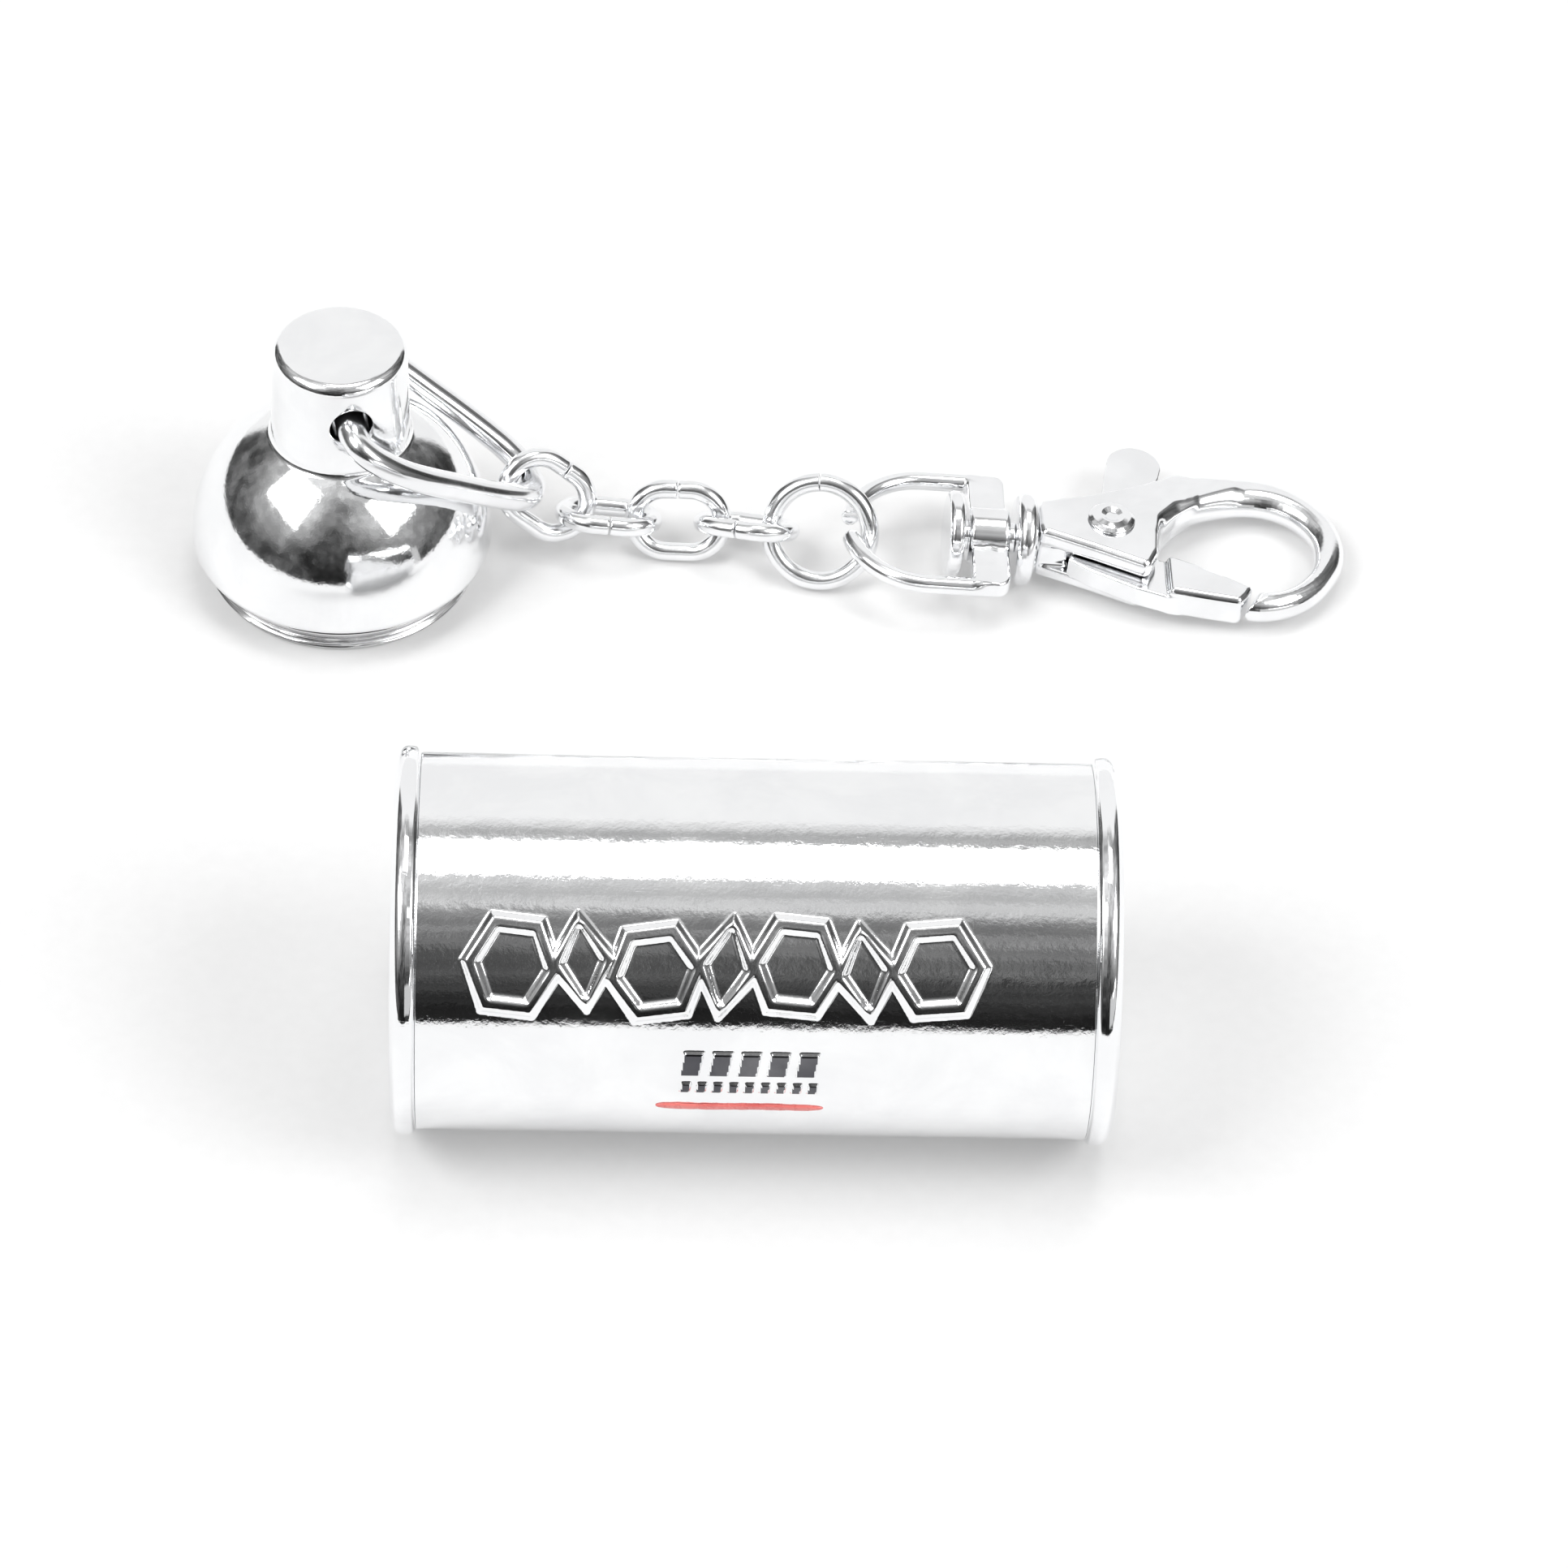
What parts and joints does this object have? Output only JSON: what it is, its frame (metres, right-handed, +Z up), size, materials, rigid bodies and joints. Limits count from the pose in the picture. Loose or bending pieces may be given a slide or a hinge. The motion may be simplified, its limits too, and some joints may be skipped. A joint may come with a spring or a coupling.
{
  "type": "spray-can key fob",
  "caption": "Two-part chromed key fob shaped like a spray can: hollow screw-top can body, dome cap with bail, chain and swivel lobster clasp.",
  "frame": {"origin": "centre of the bounding box at the surface it lies on", "axes": "+X along the layout's length, from the cap towards the clasp's hook; +Z up"},
  "size_m": [0.0798, 0.0734, 0.025],
  "materials": {
    "chrome": "polished",
    "chrome_orange_peel": "plated over a slightly uneven casting",
    "wire": "polished wire",
    "spring_steel": "drawn wire",
    "seal_rubber": "matt",
    "red_enamel": "soft enamel"
  },
  "bodies": {
    "can_body": {"can_tube": "chrome_orange_peel", "base_cap": "chrome", "neck_collar": "chrome", "enamel_stripe": "red_enamel"},
    "seal": {"seal_ring": "seal_rubber"},
    "cap": {"dome_cap": "chrome_orange_peel", "thread_plug": "chrome"},
    "bail": {"bail": "wire"},
    "link_1": {"chain_link_1": "wire"},
    "link_2": {"chain_link_2": "wire"},
    "link_3": {"chain_link_3": "wire"},
    "link_4": {"chain_link_4": "wire"},
    "ring": {"chain_ring": "wire"},
    "eye": {"swivel_eye": "chrome"},
    "claw": {"swivel_post": "chrome", "claw_body": "chrome", "gate_rivet": "chrome", "gate_spring": "spring_steel"},
    "gate": {"gate_lever": "chrome"}
  },
  "joints": [
    {"name": "cap_lift", "type": "slide", "parent": "can_body", "child": "seal", "axis": [0, 0, 1], "range_m": [0, 0.03]},
    {"name": "cap_turn", "type": "hinge", "parent": "seal", "child": "cap", "pos_m": [-0.02958, 0.02488, 0.006], "axis": [0, 0, 1], "range_deg": [-15, 200]},
    {"name": "bail_swing", "type": "hinge", "parent": "cap", "child": "bail", "pos_m": [-0.02958, 0.02488, 0.0162], "axis": [0.2379, -0.9713, 0], "range_deg": [0, 240]},
    {"name": "link_1_swing", "type": "hinge", "parent": "bail", "child": "link_1", "pos_m": [-0.0167, 0.02803, 0.0054], "axis": [0.2379, -0.9713, 0], "range_deg": [-28, 20]},
    {"name": "link_2_swing", "type": "hinge", "parent": "link_1", "child": "link_2", "pos_m": [-0.01316, 0.02745, 0.0026], "axis": [-0.5488, -0.5295, -0.6469], "range_deg": [-30, 30]},
    {"name": "link_3_swing", "type": "hinge", "parent": "link_2", "child": "link_3", "pos_m": [-0.0082, 0.02765, 0.00256], "axis": [-0.0662, 0.9073, -0.4153], "range_deg": [-30, 30]},
    {"name": "link_4_swing", "type": "hinge", "parent": "link_3", "child": "link_4", "pos_m": [-0.00334, 0.02729, 0.00294], "axis": [0.0267, -0.4224, -0.906], "range_deg": [-30, 30]},
    {"name": "ring_swing", "type": "hinge", "parent": "link_4", "child": "ring", "pos_m": [0.00128, 0.02586, 0.00358], "axis": [0.2849, 0.7784, -0.5594], "range_deg": [-30, 30]},
    {"name": "eye_swing", "type": "hinge", "parent": "ring", "child": "eye", "pos_m": [0.00684, 0.02564, 0.00401], "axis": [0.0357, -0.5317, -0.8462], "range_deg": [-30, 30]},
    {"name": "clasp_swivel", "type": "hinge", "parent": "eye", "child": "claw", "pos_m": [0.01497, 0.02632, 0.00349], "axis": [0.9944, 0.0588, -0.0874], "continuous": true},
    {"name": "gate_open", "type": "hinge", "parent": "claw", "child": "gate", "pos_m": [0.02331, 0.02701, 0.00276], "axis": [0.0873, 0.0052, 0.9962], "range_deg": [0, 25], "stiffness_Nm_per_rad": 0.01, "springref_deg": -28.65}
  ]
}
